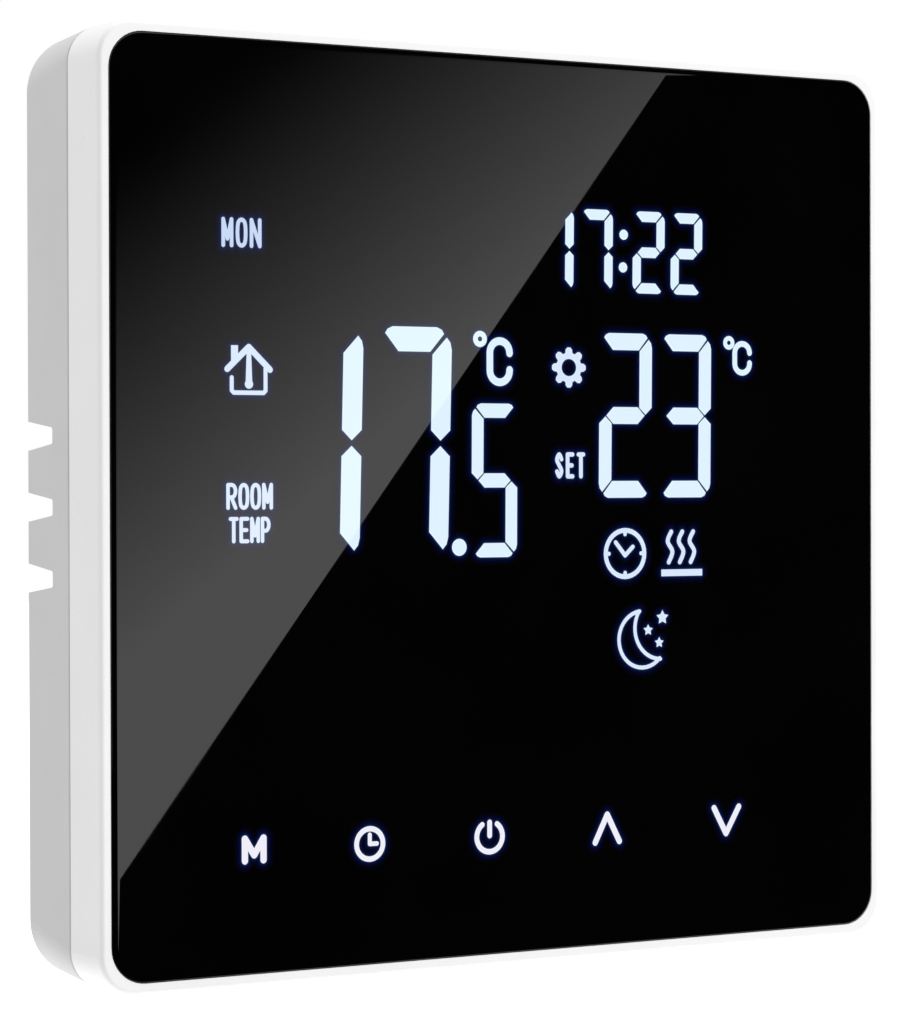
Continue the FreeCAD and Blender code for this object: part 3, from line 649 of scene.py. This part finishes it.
def number(figure, text, places, z, w, h, bar, post, gap, lean):
    """Seven-segment digits with their lower left corners at these places."""
    shapes = segments(w, h, bar, post, gap)
    for value, x in zip(text, places):
        for letter in LIT[value]:
            figure.polygon([(x + px + lean * pz, z + pz) for px, pz in shapes[letter]])


def degrees_c(figure, x, z, w, h, stroke, mouth, ring_at, ring_radius, ring_width):
    """Degree ring and C; mouth is the lower and upper end of the C's opening."""
    figure.ring(*ring_at, ring_radius, ring_width)
    r = (w - stroke) / 2
    middle = x + w / 2
    low, high = z + stroke / 2 + r, z + h - stroke / 2 - r
    line = [(middle + r, mouth[1])] + arc(middle, high, r, 0, 180, 12) + arc(middle, low, r, 180, 360, 12)
    figure.stroke(line + [(middle + r, mouth[0])], stroke)


def room_reading():
    figure = Figure()
    number(figure, "17", (-25.03, -15.54), -5.0, 8.08, 21.6, 2.3, 2.08, 0.5, 0.0255)
    figure.disc(-6.2, -3.9, 0.8)
    number(figure, "5", (-4.88,), -4.88, 5.03, 14.44, 1.34, 1.28, 0.2, 0.008)
    degrees_c(figure, -3.15, 11.2, 2.9, 4.6, 0.72, (12.75, 14.3), (-3.87, 15.6), 0.5, 0.52)
    figure.light_up("room_reading")


def set_reading():
    figure = Figure()
    number(figure, "23", (9.42, 16.4), 0.64, 6.05, 15.8, 1.62, 1.43, 0.19, 0.01)
    degrees_c(figure, 25.15, 12.55, 2.34, 3.4, 0.56, (13.8, 14.85), (24.72, 15.74), 0.44, 0.46)
    figure.light_up("set_reading")


def clock_time():
    figure = Figure()
    number(figure, "1722", (2.87, 7.34, 13.36, 17.8), 20.31, 3.7, 7.9, 1.0, 0.95, 0.2, 0.012)
    figure.disc(12.36, 25.9, 0.49)
    figure.disc(12.27, 22.76, 0.49)
    figure.light_up("clock_time")


# ---------------------------------------------------------------- words and signs
BOWL = [(0.5 + 0.5 * x, 0.73 + 0.27 * z) for x, z in arc(0, 0, 1, 90, -90, 8)]
LETTERS = {                    # lines in a box one wide and one high
    "E": [[(1, 1), (0, 1), (0, 0), (1, 0)], [(0, 0.5), (0.85, 0.5)]],
    "M": [[(0, 0), (0, 1), (0.5, 0.25), (1, 1), (1, 0)]],
    "N": [[(0, 0), (0, 1), (1, 0), (1, 1)]],
    "O": [swing([(0, 0.5), (0.1, 0.88), (0.5, 1), (0.9, 0.88), (1, 0.5), (0.9, 0.12), (0.5, 0), (0.1, 0.12),
                 (0, 0.5)], 3)],
    "P": [[(0, 0), (0, 1)] + BOWL + [(0, 0.46)]],
    "R": [[(0, 0), (0, 1)] + BOWL + [(0, 0.46)], [(0.45, 0.46), (1, 0)]],
    "S": [swing([(0.95, 0.78), (0.5, 1), (0.05, 0.76), (0.5, 0.5), (0.95, 0.25), (0.5, 0),
                 (0.05, 0.22)], 4)],
    "T": [[(0, 1), (1, 1)], [(0.5, 1), (0.5, 0)]],
}


def word(figure, text, x0, x1, z0, z1, stroke, space=0.6):
    """Word of capitals between x0 and x1; space is the room between letters, in strokes."""
    room = stroke * (1 + space)
    wide = (x1 - x0 - stroke - room * (len(text) - 1)) / len(text)
    high = z1 - z0 - stroke
    for n, letter in enumerate(text):
        left = x0 + stroke / 2 + n * (wide + room)
        for line in LETTERS[letter]:
            figure.stroke([(left + wide * px, z0 + stroke / 2 + high * pz) for px, pz in line], stroke)


def weekday():
    figure = Figure()
    word(figure, "MON", -31.06, -26.99, 23.34, 26.05, 0.37)
    figure.light_up("weekday", "lit_labels")


def labels():
    figure = Figure()
    word(figure, "SET", 4.44, 7.88, 2.5, 5.0, 0.42)
    word(figure, "ROOM", -30.66, -25.9, -0.25, 2.18, 0.36, 0.25)
    word(figure, "TEMP", -30.42, -26.16, -3.26, -0.88, 0.36, 0.2)
    figure.light_up("labels", "lit_signs")


def house(figure):
    """Room sign: roof, chimney, walls and a thermometer."""
    figure.stroke([(-30.52, 12.42), (-28.33, 14.42), (-26.17, 12.4)], 0.58)
    figure.polygon([(-30.13, 12.8), (-29.42, 13.45), (-29.42, 14.56), (-30.13, 14.56)])
    figure.stroke([(-30.07, 11.66), (-30.07, 10.5), (-29.87, 10.3), (-26.83, 10.3), (-26.63, 10.5),
                   (-26.63, 12.5)], 0.4)
    figure.polygon([(-28.54, 14.2), (-28.66, 11.1), (-27.98, 11.1), (-28.1, 14.2)])
    figure.disc(-28.32, 11.08, 0.42)


def gear(figure, x, z):
    """Settings sign; a tooth is given by distances from the middle and to its side."""
    teeth = 8
    tooth = ((1.3, -0.42), (1.7, -0.36), (1.91, -0.18), (1.91, 0.18), (1.7, 0.36), (1.3, 0.42))
    figure.ring(x, z, 1.12, 0.6)
    for n in range(teeth):
        turn = 2 * pi * n / teeth
        figure.polygon([(x + r * cos(turn) - side * sin(turn), z + r * sin(turn) + side * cos(turn))
                        for r, side in tooth])


def clock_face(figure, x, z):
    """Timetable sign: a ring with four ticks and two hands."""
    figure.ring(x, z, 2.23, 0.46)
    for dx, dz in ((1, 0), (-1, 0), (0, 1), (0, -1)):
        figure.stroke([(x + dx * 2.1, z + dz * 2.1), (x + dx * 1.86, z + dz * 1.86)], 0.4)
    figure.stroke([(x - 1.08, z + 1.08), (x, z - 0.18), (x + 0.9, z + 0.64)], 0.42)


def rising_heat(figure):
    """Heating sign: three waves over a bar."""
    for x in (17.66, 18.96, 20.24):
        wave = swing([(x + 0.17, -2.68), (x - 0.25, -3.6), (x + 0.3, -4.6), (x - 0.13, -5.63)])
        figure.stroke(wave, 0.45)
    figure.polygon([(16.66, -6.98), (21.48, -6.98), (21.48, -6.33), (16.66, -6.33)])


def star(figure, x, z, radius):
    """Five-pointed star."""
    waist = radius * 0.54
    for n in range(5):
        turn = pi / 2 + 2 * pi / 5 * n
        figure.polygon([(x + radius * cos(turn), z + radius * sin(turn)),
                        (x + waist * cos(turn + pi / 5), z + waist * sin(turn + pi / 5)), (x, z),
                        (x + waist * cos(turn - pi / 5), z + waist * sin(turn - pi / 5))])


def night(figure):
    """Night sign: a crescent and three stars."""
    figure.stroke(arc(14.44, -13.02, 2.73, 97, 317, 24), 0.38)
    figure.stroke(arc(16.58, -11.95, 3.02, 147, 269, 16), 0.38)
    star(figure, 16.77, -10.96, 0.72)
    star(figure, 15.1, -12.14, 0.56)
    star(figure, 16.39, -13.38, 0.54)


def signs():
    figure = Figure()
    house(figure)
    gear(figure, 6.05, 13.06)
    clock_face(figure, 12.44, -4.72)
    rising_heat(figure)
    night(figure)
    figure.light_up("signs", "lit_signs")


def key_signs():
    figure = Figure()
    word(figure, "M", -29.21, -26.67, -32.23, -29.59, 0.64)
    x, z = -15.92, -31.08
    figure.ring(x, z, 1.4, 0.5)
    figure.stroke([(x, z + 0.85), (x, z), (x + 0.75, z)], 0.42)
    x, z = -2.95, -31.12
    figure.stroke(arc(x, z, 1.42, 125, 415, 26), 0.52)
    figure.stroke([(x, z + 1.35), (x, z + 0.1)], 0.52)
    figure.stroke([(8.92, -32.35), (10.31, -29.72), (11.7, -32.35)], 0.6)
    figure.stroke([(22.83, -29.72), (24.26, -32.28), (25.8, -29.72)], 0.6)
    figure.light_up("key_signs", "lit_keys")


# ---------------------------------------------------------------- order of making
add_camera()
add_world()
add_floor()
add_reflections()
area_light("key_light", (0.8, -0.5, 0.35), 0.4, 6.2)
area_light("top_light", (-0.03, 0.12, 0.9), 0.1, 3.2)
area_light("low_light", (-0.05, 0.12, -0.9), 0.3, 5.5)
dress_cad_nodes()
glass()
room_reading()
set_reading()
clock_time()
weekday()
labels()
signs()
key_signs()
glow()
